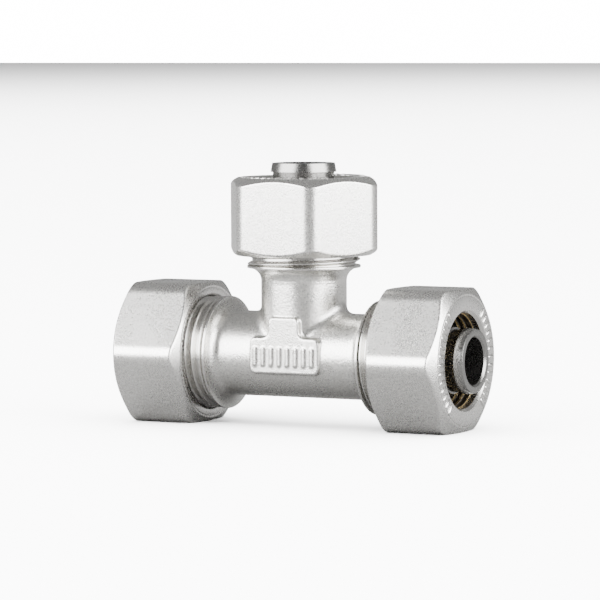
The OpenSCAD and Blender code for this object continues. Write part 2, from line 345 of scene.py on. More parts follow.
@dataclass
class Lathe:
    """A closed outline carried round the +Z axis.

    Attributes:
        name: Name of the piece.
        outline: Closed outline as radius and height, in millimetres.
        steps: Spans round the axis.
        gap: Angle left open, in degrees, centred on -Y.
        shape: Optional change of radius by angle and height.
        slots: Material of each face from its radius and height.
        materials: The piece's materials, in slot order.
    """

    UV_NAME = "turned"

    name: str
    outline: list[Point]
    steps: int = 128
    gap: float = 0.0
    shape: Callable[[np.ndarray, np.ndarray, np.ndarray], np.ndarray] | None = None
    slots: Callable[[float, float], int] = field(default=lambda r, z: 0)
    materials: tuple[bpy.types.Material, ...] = ()

    def build(self, place: Matrix) -> bpy.types.Object:
        """Make the piece.

        Args:
            place: Transform from the drawing to the frame.

        Returns:
            The new object.
        """
        rows = len(self.outline)
        whole = self.gap == 0
        columns = self.steps if whole else self.steps + 1
        opening = math.radians(self.gap)
        angles = np.linspace(0, 2 * math.pi - opening, self.steps + 1)[:columns]
        angles += opening / 2 - math.pi / 2
        radius = np.array([p[0] for p in self.outline])[None, :] * np.ones((columns, 1))
        height = np.array([p[1] for p in self.outline])[None, :] * np.ones((columns, 1))
        if self.shape is not None:
            radius = self.shape(angles[:, None], radius, height)
        x, y = radius * np.cos(angles)[:, None], radius * np.sin(angles)[:, None]
        points = np.stack([x, y, height], -1).reshape(-1, 3)
        faces, middles = [], []
        for step in range(self.steps):
            left, right = step * rows, ((step + 1) % columns) * rows
            for row in range(rows):
                up = (row + 1) % rows
                faces.append((left + row, right + row, right + up, left + up))
                middles.append((row, step))
        if not whole:
            faces.append(tuple(range(rows)))
            faces.append(tuple((columns - 1) * rows + row for row in reversed(range(rows))))
        mesh = bpy.data.meshes.new(self.name)
        mesh.from_pydata(points.tolist(), [], faces)
        self._dress(mesh, middles)
        mesh.transform(place)
        outwards(mesh)
        mesh.set_sharp_from_angle(angle=SHARP_ANGLE)
        return new_object(self.name, mesh)

    def _dress(self, mesh: bpy.types.Mesh, middles: list[tuple[int, int]]) -> None:
        """Set the UV map, with the lathe's travel in millimetres as V, and the slots."""
        for material in self.materials:
            mesh.materials.append(material)
        outline = np.array(self.outline)
        ahead = np.roll(outline, -1, axis=0)
        travel = np.concatenate([[0], np.cumsum(np.linalg.norm(ahead - outline, axis=1))])
        uv = mesh.uv_layers.new(name=self.UV_NAME).data
        for polygon in mesh.polygons:
            polygon.use_smooth = polygon.index < len(middles)
            if polygon.index >= len(middles):
                continue
            row, step = middles[polygon.index]
            middle = (outline[row] + ahead[row]) / 2
            polygon.material_index = self.slots(float(middle[0]), float(middle[1]))
            turns = (step / self.steps, (step + 1) / self.steps)
            corners = ((turns[0], row), (turns[1], row), (turns[1], row + 1), (turns[0], row + 1))
            for loop, (u, v) in zip(polygon.loop_indices, corners):
                uv[loop].uv = (u, travel[v])


def outwards(mesh: bpy.types.Mesh) -> None:
    """Turn the faces of a closed mesh outwards, by the sign of its volume."""
    count = len(mesh.vertices)
    points = np.empty(count * 3)
    mesh.vertices.foreach_get("co", points)
    points = points.reshape(-1, 3)
    mesh.calc_loop_triangles()
    triangles = np.empty(len(mesh.loop_triangles) * 3, int)
    mesh.loop_triangles.foreach_get("vertices", triangles)
    a, b, c = (points[triangles.reshape(-1, 3)[:, k]] for k in range(3))
    if (a * np.cross(b, c)).sum() < 0:
        mesh.flip_normals()


# ---- Geometry Nodes ------------------------------------------------------------------


class GeometryTree:
    """A Geometry Nodes tree with named inputs that is run once and turned into a mesh."""

    def __init__(self, name: str) -> None:
        """Start an empty tree.

        Args:
            name: Name of the tree.
        """
        self.tree = bpy.data.node_groups.new(name, "GeometryNodeTree")
        self.tree.interface.new_socket("Geometry", in_out="OUTPUT", socket_type="NodeSocketGeometry")
        self.inputs = self.tree.nodes.new("NodeGroupInput")
        self.identifiers: dict[str, str] = {}

    def value(self, name: str, kind: str = "NodeSocketFloat") -> Socket:
        """Add a named input and return its socket inside the tree."""
        item = self.tree.interface.new_socket(name, in_out="INPUT", socket_type=kind)
        self.identifiers[name] = item.identifier
        return self.inputs.outputs[name]

    def node(self, kind: str, links: dict | None = None, **settings: str) -> bpy.types.Node:
        """Add a node.

        Args:
            kind: Node type.
            links: Input name or index to a socket or a plain value.
            **settings: Properties of the node.

        Returns:
            The new node.
        """
        made = self.tree.nodes.new(kind)
        for key, setting in settings.items():
            setattr(made, key, setting)
        for key, source in (links or {}).items():
            if isinstance(source, bpy.types.NodeSocket):
                self.tree.links.new(source, made.inputs[key])
            else:
                made.inputs[key].default_value = source
        return made

    def math(self, operation: str, first: Socket | float, second: Socket | float) -> Socket:
        """Add a Math node on two sockets or numbers and return its result."""
        return self.node("ShaderNodeMath", {0: first, 1: second}, operation=operation).outputs[0]

    def point(self, x: Socket | float, y: Socket | float, z: Socket | float) -> Socket:
        """Combine three sockets or numbers into a vector."""
        return self.node("ShaderNodeCombineXYZ", {0: x, 1: y, 2: z}).outputs[0]

    def finish(self, geometry: Socket, material: Socket) -> None:
        """End the tree in Realize Instances and Set Material."""
        real = self.node("GeometryNodeRealizeInstances", {"Geometry": geometry})
        dressed = self.node(
            "GeometryNodeSetMaterial", {"Geometry": real.outputs[0], "Material": material}
        )
        out = self.tree.nodes.new("NodeGroupOutput")
        self.tree.links.new(dressed.outputs[0], out.inputs["Geometry"])

    def grow(self, name: str, values: dict, place: Matrix) -> bpy.types.Object:
        """Run the tree and keep its result as a plain mesh.

        Args:
            name: Name of the piece.
            values: Input name to value.
            place: Transform from the drawing to the frame.

        Returns:
            The new object.
        """
        holder = new_object(name + ".holder", bpy.data.meshes.new(name + ".holder"))
        modifier = holder.modifiers.new("grow", "NODES")
        modifier.node_group = self.tree
        for key, value in values.items():
            modifier[self.identifiers[key]] = value
        graph = bpy.context.evaluated_depsgraph_get()
        mesh = bpy.data.meshes.new_from_object(holder.evaluated_get(graph), depsgraph=graph)
        bpy.data.objects.remove(holder)
        mesh.name = name
        mesh.transform(place)
        outwards(mesh)
        for polygon in mesh.polygons:
            polygon.use_smooth = True
        mesh.set_sharp_from_angle(angle=SHARP_ANGLE)
        return new_object(name, mesh)


class ThreadTree(GeometryTree):
    """A helical ridge with a four-cornered section, faded out at both ends."""

    def __init__(self) -> None:
        """Build the tree: spiral, upright section, fade by the way along, sweep."""
        super().__init__("helical_ridge")
        radius, pitch = self.value("Radius"), self.value("Pitch")
        turns, start = self.value("Turns"), self.value("Start")
        depth, bury = self.value("Depth"), self.value("Bury")
        crest, root = self.value("Crest"), self.value("Root")
        fade = self.value("Fade")
        steps = self.value("Steps", "NodeSocketInt")
        material = self.value("Material", "NodeSocketMaterial")
        spiral = self.node(
            "GeometryNodeCurveSpiral",
            {
                "Resolution": steps,
                "Rotations": turns,
                "Start Radius": radius,
                "End Radius": radius,
                "Height": self.math("MULTIPLY", pitch, turns),
                "Reverse": True,
            },
        )
        lifted = self.node(
            "GeometryNodeTransform",
            {"Geometry": spiral.outputs[0], "Translation": self.point(0.0, 0.0, start)},
        )
        upright = self.node(
            "GeometryNodeSetCurveNormal", {"Curve": lifted.outputs[0]}, mode="Z_UP"
        )
        along = self.node("GeometryNodeSplineParameter").outputs["Factor"]
        nearer = self.math("MINIMUM", along, self.math("SUBTRACT", 1.0, along))
        ramp = self.math("DIVIDE", self.math("MULTIPLY", nearer, turns), fade)
        size = self.math("MAXIMUM", self.math("MINIMUM", ramp, 1.0), 0.02)
        half_root, half_crest = self.math("DIVIDE", root, 2.0), self.math("DIVIDE", crest, 2.0)
        inner = self.math("MULTIPLY", bury, -1.0)
        section = self.node(
            "GeometryNodeCurvePrimitiveQuadrilateral",
            {
                "Point 1": self.point(inner, self.math("MULTIPLY", half_root, -1.0), 0.0),
                "Point 2": self.point(depth, self.math("MULTIPLY", half_crest, -1.0), 0.0),
                "Point 3": self.point(depth, half_crest, 0.0),
                "Point 4": self.point(inner, half_root, 0.0),
            },
            mode="POINTS",
        )
        sweep = self.node(
            "GeometryNodeCurveToMesh",
            {
                "Curve": upright.outputs[0],
                "Profile Curve": section.outputs[0],
                "Scale": size,
                "Fill Caps": True,
            },
        )
        self.finish(sweep.outputs[0], material)


class MarkTree(GeometryTree):
    """Raised oval pips along two opposite arcs, in place of any lettering."""

    def __init__(self) -> None:
        """Build the tree: an arc, its opposite, points along both, a pip on each."""
        super().__init__("face_marks")
        radius, height = self.value("Radius"), self.value("Height")
        count = self.value("Count", "NodeSocketInt")
        start, sweep = self.value("Start Angle"), self.value("Sweep Angle")
        size = self.value("Size", "NodeSocketVector")
        material = self.value("Material", "NodeSocketMaterial")
        arc = self.node(
            "GeometryNodeCurveArc",
            {"Resolution": 64, "Radius": radius, "Start Angle": start, "Sweep Angle": sweep},
            mode="RADIUS",
        )
        lifted = self.node(
            "GeometryNodeTransform",
            {"Geometry": arc.outputs[0], "Translation": self.point(0.0, 0.0, height)},
        )
        opposite = self.node(
            "GeometryNodeTransform",
            {"Geometry": lifted.outputs[0], "Rotation": (0.0, 0.0, math.pi)},
        )
        both = self.node("GeometryNodeJoinGeometry")
        self.tree.links.new(lifted.outputs[0], both.inputs[0])
        self.tree.links.new(opposite.outputs[0], both.inputs[0])
        points = self.node("GeometryNodeCurveToPoints", {"Curve": both.outputs[0], "Count": count})
        align = self.node(
            "FunctionNodeAlignRotationToVector", {"Vector": points.outputs["Tangent"]}, axis="X"
        )
        pip = self.node("GeometryNodeMeshUVSphere", {"Segments": 16, "Rings": 10, "Radius": 0.5})
        placed = self.node(
            "GeometryNodeInstanceOnPoints",
            {
                "Points": points.outputs["Points"],
                "Instance": pip.outputs["Mesh"],
                "Rotation": align.outputs[0],
                "Scale": size,
            },
        )
        self.finish(placed.outputs[0], material)


# ---- Thread --------------------------------------------------------------------------


@dataclass(frozen=True)
class Thread:
    """The fitting's right-hand thread.

    Attributes:
        pitch: Distance between crests.
        crest_radius: Radius of the body's crests.
        depth: Height of the thread form.
        clearance: Radial gap between the body's thread and the nut's.
        flank_gap: Gap along the axis between their flanks.
        bury: How deep a ridge's foot sits in the wall that carries it.
        flank_angle: Slope of each flank, in degrees.
        run_out: Turns over which a ridge fades at each end.
        steps: Spans in each turn of a ridge.
    """

    pitch: float = 1.5
    crest_radius: float = 10.0
    depth: float = 0.81
    clearance: float = 0.15
    flank_gap: float = 0.06
    bury: float = 0.25
    flank_angle: float = 30.0
    run_out: float = 0.35
    steps: int = 72

    @property
    def root_radius(self) -> float:
        """Radius at the roots of the body's thread."""
        return self.crest_radius - self.depth

    @property
    def nut_root_radius(self) -> float:
        """Radius at the roots of the nut's thread."""
        return self.crest_radius + self.clearance

    def widths(self, inward: bool) -> Point:
        """Width of the nut's or the body's ridge at its buried foot and at its crest."""
        slope = 2 * math.tan(math.radians(self.flank_angle))
        crest = self.pitch / 4 - 2 * self.flank_gap if inward else self.pitch / 8
        return crest + slope * (self.depth + self.bury), crest

    def ridge(
        self, tree: ThreadTree, name: str, inward: bool, low: float, high: float,
        datum: float, material: bpy.types.Material, place: Matrix,
    ) -> bpy.types.Object:
        """One helical ridge on the body or in the nut.

        Args:
            tree: The tree that sweeps it.
            name: Name of the piece.
            inward: Whether it points at the axis, as the nut's does.
            low: Height where it may begin.
            high: Height where it has to end.
            datum: A height where the body's root begins at angle zero.
            material: Its finish.
            place: Transform from the drawing to the frame.

        Returns:
            The ridge.
        """
        middle = 1 / 8 if inward else 5 / 8
        start = datum + self.pitch * (math.ceil((low - datum) / self.pitch - middle) + middle)
        foot, crest = self.widths(inward)
        values = {
            "Radius": self.nut_root_radius if inward else self.root_radius,
            "Pitch": self.pitch,
            "Turns": (high - start) / self.pitch,
            "Start": start,
            "Depth": -self.depth if inward else self.depth,
            "Bury": -self.bury if inward else self.bury,
            "Crest": crest,
            "Root": foot,
            "Fade": self.run_out,
            "Steps": self.steps,
            "Material": material,
        }
        return tree.grow(name, values, place)


# ---- Forged tee ----------------------------------------------------------------------


def soft_min(a: np.ndarray, b: np.ndarray, reach: float | np.ndarray) -> np.ndarray:
    """Smaller of two fields with a rounded valley where they meet."""
    near = np.maximum(reach - np.abs(a - b), 0) / reach
    return np.minimum(a, b) - near * near * reach / 4


def soft_max(a: np.ndarray, b: np.ndarray, reach: float) -> np.ndarray:
    """Larger of two fields with a rounded ridge where they meet."""
    return -soft_min(-a, -b, reach)


def rounded_box(u: np.ndarray, v: np.ndarray, half: Point, radius: float) -> np.ndarray:
    """Signed distance to a flat box with round corners."""
    du, dv = np.abs(u) - half[0] + radius, np.abs(v) - half[1] + radius
    outside = np.hypot(np.maximum(du, 0), np.maximum(dv, 0))
    return outside + np.minimum(np.maximum(du, dv), 0) - radius


@dataclass
class Forging:
    """The tee's forged middle: two tubes that run into each other, with a marking pad.

    Attributes:
        tube_radius: Radius of both tubes.
        bore_radius: Radius of the waterway.
        valley: Radius of the valley between the tubes.
        run_end: Where the run's skin stops, inside the flares.
        branch_end: Where the branch's skin stops.
        cell: Size of the net's cells.
        bar: Width and height of the pad's bar.
        bar_centre: Centre of the bar along the run and up.
        stem: Width and height of the pad's stem.
        stem_centre: Centre of the stem.
        pad_height: How far the pad stands out.
        stroke: Width and height of each plain stroke on the pad.
        stroke_count: Number of strokes.
        stroke_pitch: Distance between strokes.
        stroke_centre: Centre of the row of strokes.
        stroke_height: How far the strokes stand out.
        bar_corner: Radius of the bar's corners.
        stem_corner: Radius of the stem's corners.
        stem_blend: Reach of the blend between bar and stem.
        pad_edge: Reach of the rounding round the pad's face.
        stroke_edge: Reach of the rounding round a stroke.
        stroke_foot: Reach of the blend at a stroke's foot.
        pad_foot: Reach of the blend at the pad's foot.
        crease: Angle past which an edge is sharp, in degrees.
    """

    tube_radius: float = 7.6
    bore_radius: float = 4.15
    valley: float = 2.0
    run_end: float = 12.7
    branch_end: float = 13.8
    cell: float = 0.2
    bar: Point = (13.7, 6.4)
    bar_centre: Point = (0.0, 0.3)
    stem: Point = (6.0, 6.2)
    stem_centre: Point = (-0.1, 4.0)
    pad_height: float = 0.42
    stroke: Point = (0.7, 3.4)
    stroke_count: int = 8
    stroke_pitch: float = 1.6
    stroke_centre: Point = (-0.1, 0.15)
    stroke_height: float = 0.2
    bar_corner: float = 1.1
    stem_corner: float = 0.9
    stem_blend: float = 1.6
    pad_edge: float = 0.4
    stroke_edge: float = 0.25
    stroke_foot: float = 0.2
    pad_foot: float = 0.3
    crease: float = 50.0

    def tubes(self, x: np.ndarray, y: np.ndarray, z: np.ndarray) -> np.ndarray:
        """Signed distance to the two tubes, with an even valley where they meet."""
        run_axis, branch_axis = np.hypot(y, z), np.hypot(x, y)
        run = run_axis - self.tube_radius
        branch = np.maximum(branch_axis - self.tube_radius, -z)
        agree = y * y / np.maximum(run_axis * branch_axis, 1e-6)
        half_turn = np.sqrt((1 + np.clip(agree, 0, 1)) / 2)
        return soft_min(run, branch, 4 * self.valley * (1 - half_turn) + 1e-3)

    def pad(self, x: np.ndarray, y: np.ndarray, z: np.ndarray) -> np.ndarray:
        """Signed distance to the flat T-shaped pad with its row of plain strokes."""
        bar = rounded_box(
            x - self.bar_centre[0], z - self.bar_centre[1],
            (self.bar[0] / 2, self.bar[1] / 2), self.bar_corner,
        )
        stem = rounded_box(
            x - self.stem_centre[0], z - self.stem_centre[1],
            (self.stem[0] / 2, self.stem[1] / 2), self.stem_corner,
        )
        outline = soft_min(bar, stem, self.stem_blend)
        face = -y - self.tube_radius - self.pad_height
        pad = np.maximum(soft_max(outline, face, self.pad_edge), y)
        middle = (self.stroke_count - 1) / 2
        for i in range(self.stroke_count):
            mark = rounded_box(
                x - self.stroke_centre[0] - (i - middle) * self.stroke_pitch,
                z - self.stroke_centre[1],
                (self.stroke[0] / 2, self.stroke[1] / 2), self.stroke[0] / 2 - 0.01,
            )
            raised = np.maximum(soft_max(mark, face - self.stroke_height, self.stroke_edge), y)
            pad = soft_min(pad, raised, self.stroke_foot)
        return pad

    def field(self, points: np.ndarray) -> np.ndarray:
        """Signed distance to the forging at some points, negative inside."""
        x, y, z = points[..., 0], points[..., 1], points[..., 2]
        solid = soft_min(self.tubes(x, y, z), self.pad(x, y, z), self.pad_foot)
        ends = np.maximum(np.abs(x) - self.run_end, z - self.branch_end)
        bore = np.minimum(np.hypot(y, z), np.where(z > 0, np.hypot(x, y), FAR_OFF))
        return np.maximum(np.maximum(solid, ends), self.bore_radius - bore)

    def build(self, name: str, place: Matrix, material: bpy.types.Material) -> bpy.types.Object:
        """Make the forging as a net of quads on the field's surface.

        Args:
            name: Name of the piece.
            place: Transform from the drawing to the frame.
            material: The blasted finish.

        Returns:
            The new object.
        """
        margin = 3 * self.cell
        reach = self.tube_radius + self.pad_height + self.stroke_height + margin
        low = np.array([-self.run_end - margin, -reach, -self.tube_radius - margin])
        high = np.array([self.run_end + margin, self.tube_radius + margin, self.branch_end + margin])
        points, faces = SurfaceNet(self.field, low, high, self.cell).build()
        mesh = bpy.data.meshes.new(name)
        mesh.from_pydata(points.tolist(), [], faces.tolist())
        mesh.materials.append(material)
        mesh.transform(place)
        outwards(mesh)
        for polygon in mesh.polygons:
            polygon.use_smooth = True
        mesh.set_sharp_from_angle(angle=math.radians(self.crease))
        return new_object(name, mesh)


@dataclass
class SurfaceNet:
    """Quads on the zero surface of a field, one vertex in each cell that it crosses.

    Attributes:
        field: Signed distance at an array of points.
        low: Lowest corner of the grid.
        high: Highest corner of the grid.
        cell: Size of a cell.
    """

    field: Callable[[np.ndarray], np.ndarray]
    low: np.ndarray
    high: np.ndarray
    cell: float

    def build(self) -> tuple[np.ndarray, np.ndarray]:
        """Make the net.

        Returns:
            The vertices, and the quads as rows of four indices.
        """
        counts = np.ceil((self.high - self.low) / self.cell).astype(int) + 1
        axes = [self.low[k] + self.cell * np.arange(counts[k]) for k in range(3)]
        grid = np.stack(np.meshgrid(*axes, indexing="ij"), -1)
        values = self.field(grid)
        inside = values < 0
        corners = np.stack([
            inside[i:counts[0] - 1 + i, j:counts[1] - 1 + j, k:counts[2] - 1 + k]
            for i in (0, 1) for j in (0, 1) for k in (0, 1)
        ])
        crossed = corners.any(0) & ~corners.all(0)
        index = np.full(crossed.shape, -1)
        index[crossed] = np.arange(crossed.sum())
        points = self._settle(self.low + self.cell * (np.argwhere(crossed) + 0.5))
        return points, self._quads(inside, index)

    def _settle(self, points: np.ndarray) -> np.ndarray:
        """Move the vertices onto the surface along the field's slope."""
        home = points.copy()
        nudge = self.cell * 0.05
        for _ in range(6):
            value = self.field(points)
            slope = np.stack([
                self.field(points + nudge * step) - self.field(points - nudge * step)
                for step in np.eye(3)
            ], -1) / (2 * nudge)
            size = np.maximum((slope * slope).sum(-1), 0.2)
            points = points - (value / size)[:, None] * slope
            points = home + np.clip(points - home, -0.8 * self.cell, 0.8 * self.cell)
        return points

    @staticmethod
    def _quads(inside: np.ndarray, index: np.ndarray) -> np.ndarray:
        """One quad across each grid edge that the surface crosses."""
        quads = []
        for axis in range(3):
            near = np.moveaxis(inside, axis, 0)
            cells = np.moveaxis(index, axis, 0)
            edge = near[:-1, 1:-1, 1:-1] != near[1:, 1:-1, 1:-1]
            rising = near[:-1, 1:-1, 1:-1][edge]
            ring = np.stack([
                cells[:, :-1, :-1][edge], cells[:, 1:, :-1][edge],
                cells[:, 1:, 1:][edge], cells[:, :-1, 1:][edge],
            ], -1)
            if axis == 1:
                rising = ~rising
            ring[~rising] = ring[~rising][:, ::-1]
            quads.append(ring)
        return np.concatenate(quads)


# ---- Turned ends ---------------------------------------------------------------------


@dataclass
class TurnedEnd:
    """One end of the body: flare, lip, thread, socket and spigot, in one turning.

    Attributes:
        port: Where it goes.
        thread: The thread that it carries.
    """

    port: Port
    thread: Thread
    lip_from_tip: float = 18.1
    end_from_lip: float = 8.02
    socket_depth: float = 4.3
    tube_radius: float = 7.602
    flare_length: float = 2.3
    flare_overlap: float = 0.4
    lip_land: float = 0.42
    lip_radius: float = 10.08
    socket_radius: float = 8.25
    spigot_radius: float = 5.85
    washer_seat_radius: float = 5.6
    washer_seat: float = 1.1
    groove_radius: float = 4.85
    groove_width: float = 1.6
    grooves_from_tip: Point = (9.2, 6.2)
    neck_radius: float = 5.45
    neck_length: float = 2.4
    lead_in: float = 1.6
    tip_radius: float = 5.57
    bore_radius: float = 4.15
    bore_chamfer: float = 0.34
    edge: float = 0.06

    @property
    def tip(self) -> float:
        """Height of the spigot's tip."""
        return self.port.span("tee_body")[1]

    @property
    def lip(self) -> float:
        """Height of the lip's outer face."""
        return self.tip - self.lip_from_tip

    @property
    def end(self) -> float:
        """Height of the threaded wall's end."""
        return self.lip + self.end_from_lip

    def flare(self) -> list[Point]:
        """Concave quarter ellipse from the tube to the lip."""
        rise = self.lip_radius - self.tube_radius
        foot = self.lip - self.lip_land - self.flare_length
        steps = 18
        angles = [math.pi / 2 * i / steps for i in range(steps + 1)]
        return [
            (self.tube_radius + rise * (1 - math.cos(a)), foot + self.flare_length * math.sin(a))
            for a in angles
        ]

    def groove(self, from_tip: float) -> list[Point]:
        """Corners of one O-ring groove."""
        middle, half = self.tip - from_tip, self.groove_width / 2
        return [
            (self.spigot_radius, middle - half), (self.groove_radius, middle - half),
            (self.groove_radius, middle + half), (self.spigot_radius, middle + half),
        ]

    def outline(self) -> list[Point]:
        """Closed outline of the whole turning, with its corners broken."""
        flare = self.flare()
        foot = flare[0][1] - self.flare_overlap
        floor = self.end - self.socket_depth
        neck_top = self.tip - self.lead_in
        machined = [
            (self.lip_radius, self.lip), (self.thread.root_radius, self.lip + 0.12),
            (self.thread.root_radius, self.end - 0.35), (self.thread.root_radius - 0.3, self.end),
            (self.socket_radius + 0.35, self.end), (self.socket_radius, self.end - 0.35),
            (self.socket_radius, floor), (self.washer_seat_radius, floor),
            (self.washer_seat_radius, floor + self.washer_seat),
            (self.spigot_radius, floor + self.washer_seat),
            *self.groove(self.grooves_from_tip[0]), *self.groove(self.grooves_from_tip[1]),
            (self.spigot_radius, neck_top - self.neck_length),
            (self.neck_radius, neck_top - self.neck_length),
            (self.neck_radius, neck_top), (self.spigot_radius, neck_top),
            (self.tip_radius, self.tip), (self.bore_radius + self.bore_chamfer, self.tip),
            (self.bore_radius, self.tip - self.bore_chamfer),
            (self.bore_radius, foot), (self.tube_radius, foot),
        ]
        return filleted([*flare, *machined], self.edge, 3)

    def build(self, tree: ThreadTree, palette: Palette) -> bpy.types.Object:
        """Make the end with its thread.

        Args:
            tree: The tree that sweeps the thread.
            palette: The materials.

        Returns:
            The new object.
        """
        skin_top = self.lip - self.lip_land

        def slot_of(radius: float, height: float) -> int:
            """0 on the blasted flare, 1 on the lip and thread, 2 on the spigot and bore, in a darker
            nickel that is painted shade.
            """
            if radius <= self.spigot_radius + 0.01:
                return 2
            return 0 if radius >= self.tube_radius - 0.01 and height < skin_top + 0.01 else 1

        name = f"tee_end_{self.port.side.label}"
        turning = Lathe(
            name, self.outline(), steps=192, slots=slot_of,
            materials=(palette.blasted, palette.turned, palette.spigot),
        ).build(self.port.place)
        ridge = self.thread.ridge(
            tree, name + ".thread", False, self.lip - 0.6, self.end - 0.2, self.lip,
            palette.turned, self.port.place,
        )
        return joined(name, [turning, ridge])


# ---- Nut -----------------------------------------------------------------------------


@dataclass
class UnionNut:
    """A hexagonal union nut with round corners, bevelled ends and marks on its face.

    Attributes:
        port: Where it goes.
        thread: The thread inside it.
    """

    port: Port
    thread: Thread
    flat_radius: float = 12.5
    corner_round: float = 3.4
    top_flat_angle: float = 33.0
    face_radius: float = 11.7
    inner_face_radius: float = 11.9
    bevel: float = 30.0
    edge_round: float = 0.4
    mouth_radius: float = 8.36
    mouth_chamfer: float = 0.5
    mouth_length: float = 1.7
    cone_radius: float = 8.80
    cone_length: float = 2.2
    chamber_radius: float = 9.25
    chamber_length: float = 5.08
    counterbore: float = 0.3
    mark_count: int = 13
    mark_sweep: float = 100.0
    mark_size: tuple[float, float, float] = (0.8, 2.2, 0.6)

    @property
    def ends(self) -> Point:
        """Heights of the nut's inner and outer ends."""
        return self.port.span("compression_nut")

    def outer_radius(self, angle: np.ndarray, radius: np.ndarray, height: np.ndarray) -> np.ndarray:
        """Radius of the hexagon where the outline marks its skin, else the outline's own.

        Args:
            angle: Angle round the axis.
            radius: Radius in the outline.
            height: Height in the outline.

        Returns:
            The radius at each point.
        """
        low, high = self.ends
        flat_first = math.radians(self.top_flat_angle) if self.port.side is Side.TOP else 0.0
        sector = math.pi / 3
        off = np.abs((angle - flat_first + sector / 2) % sector - sector / 2)
        inset = self.flat_radius - self.corner_round
        corner = inset / math.cos(sector / 2)
        flat_end = math.atan(inset * math.tan(sector / 2) / self.flat_radius)
        gamma = sector / 2 - off
        inside = np.maximum(self.corner_round ** 2 - (corner * np.sin(gamma)) ** 2, 0)
        arc = corner * np.cos(gamma) + np.sqrt(inside)
        hexagon = np.where(off < flat_end, self.flat_radius / np.cos(off), arc)
        slope = math.tan(math.radians(self.bevel))
        outer = self.face_radius + (high - height) / slope
        inner = self.inner_face_radius + (height - low) / slope
        skin = soft_min(soft_min(hexagon, outer, self.edge_round), inner, self.edge_round)
        return np.where(radius > SKIN_MARK / 2, skin, radius * np.ones_like(angle))

    def outline(self) -> list[Point]:
        """Closed outline, with the hexagon's rows marked by the radius SKIN_MARK."""
        low, high = self.ends
        bevel_rows = 30
        bevel_reach = 2.1
        skin = [low + 0.02 + bevel_reach * i / bevel_rows for i in range(bevel_rows)]
        body = np.linspace(low + bevel_reach + 0.1, high - bevel_reach - 0.1, 12).tolist()
        top = [high - 0.02 - bevel_reach * i / bevel_rows for i in reversed(range(bevel_rows))]
        bore = self.thread.nut_root_radius
        shoulder = high - self.mouth_length
        chamber = shoulder - self.chamber_length
        inside = filleted([
            (self.face_radius - 0.35, high),
            (self.mouth_radius + self.mouth_chamfer, high),
            (self.mouth_radius, high - self.mouth_chamfer),
            (self.mouth_radius, shoulder),
            (self.cone_radius, shoulder),
            (self.chamber_radius, shoulder - self.cone_length),
            (self.chamber_radius, chamber),
            (bore, chamber),
            (bore, low + self.counterbore),
            (bore + self.counterbore, low),
            (self.inner_face_radius - 0.35, low),
        ], 0.08, 3)
        rows = [(SKIN_MARK, z) for z in [*skin, *body, *top]]
        near = [(self.face_radius - 0.08, high - 0.003)]
        return [*rows, *near, *inside, (self.inner_face_radius - 0.08, low + 0.003)]

    def build(self, threads: ThreadTree, marks: MarkTree, palette: Palette) -> bpy.types.Object:
        """Make the nut.

        Args:
            threads: The tree that sweeps the thread.
            marks: The tree that lays out the face's marks.
            palette: The materials.

        Returns:
            The new object.
        """
        low, high = self.ends

        def slot_of(radius: float, height: float) -> int:
            """0 on the satin skin and faces, 1 inside."""
            return 0 if radius > self.mouth_radius + self.mouth_chamfer or height < low + 0.01 else 1

        label = self.port.side.label
        shell = Lathe(
            f"union_nut_{label}", self.outline(), steps=288, shape=self.outer_radius,
            slots=slot_of, materials=(palette.satin, palette.turned),
        ).build(self.port.place)
        lip = TurnedEnd(self.port, self.thread).lip
        chamber = high - self.mouth_length - self.chamber_length
        ridge = self.thread.ridge(
            threads, f"nut_thread_{label}", True, low + 0.5, chamber, lip,
            palette.turned, self.port.place,
        )
        values = {
            "Radius": (self.mouth_radius + self.mouth_chamfer + self.face_radius) / 2,
            "Height": high - 0.04,
            "Count": self.mark_count,
            "Start Angle": math.radians(90 - self.mark_sweep / 2),
            "Sweep Angle": math.radians(self.mark_sweep),
            "Size": self.mark_size,
            "Material": palette.satin,
        }
        pips = marks.grow(f"nut_marks_{label}", values, self.port.place)
        return joined(f"union_nut_{label}", [shell, ridge, pips])


# ---- Ring, seals and washer ----------------------------------------------------------


@dataclass
class SplitRing:
    """A slit brass ring with ribs inside that bite on the pipe."""

    port: Port
    bore_radius: float = 8.05
    radius: float = 9.2
    groove_depth: float = 0.3
    rib_width: float = 0.45
    rib_spacing: float = 1.3
    cone_length: float = 2.2
    cone_depth: float = 0.45
    slit: float = 1.5
    edge: float = 0.06

    def ribs(self, low: float, high: float) -> list[Point]:
        """Corners of the ribs, from the outer end inwards."""
        groove = self.bore_radius + self.groove_depth
        count = int((high - low - self.rib_spacing) / self.rib_spacing + 1e-6)
        out: list[Point] = []
        for i in range(1, count + 1):
            middle, half = high - i * self.rib_spacing, self.rib_width / 2
            out += [
                (groove, middle + half), (self.bore_radius, middle + half),
                (self.bore_radius, middle - half), (groove, middle - half),
            ]
        return out

    def build(self, palette: Palette) -> bpy.types.Object:
        """Make the ring.

        Args:
            palette: The materials.

        Returns:
            The new object.
        """
        low, high = self.port.span("split_ring")
        groove = self.bore_radius + self.groove_depth
        outline = filleted([
            (groove, low), (self.radius - 0.4, low), (self.radius, low + 0.4),
            (self.radius, high - self.cone_length), (self.radius - self.cone_depth, high),
            (groove - 0.1, high), *self.ribs(low, high),
        ], self.edge, 3)
        gap = math.degrees(self.slit / self.radius)

        def slot_of(radius: float, height: float) -> int:
            """0 on bare brass, 1 in the grooves and on the ribs' flanks, where a dark copy of the brass
            is painted shade.
            """
            inside = radius < groove + 0.01 and low + 0.1 < height < high - 0.1
            return 1 if inside and radius > self.bore_radius + 0.03 else 0

        # Slot 1 takes the dark brass that paints shade inside the ring.
        return Lathe(
            f"brass_ring_{self.port.side.label}", outline, steps=160, gap=gap,
            slots=slot_of, materials=(palette.brass, palette.brass_shade),
        ).build(self.port.place)


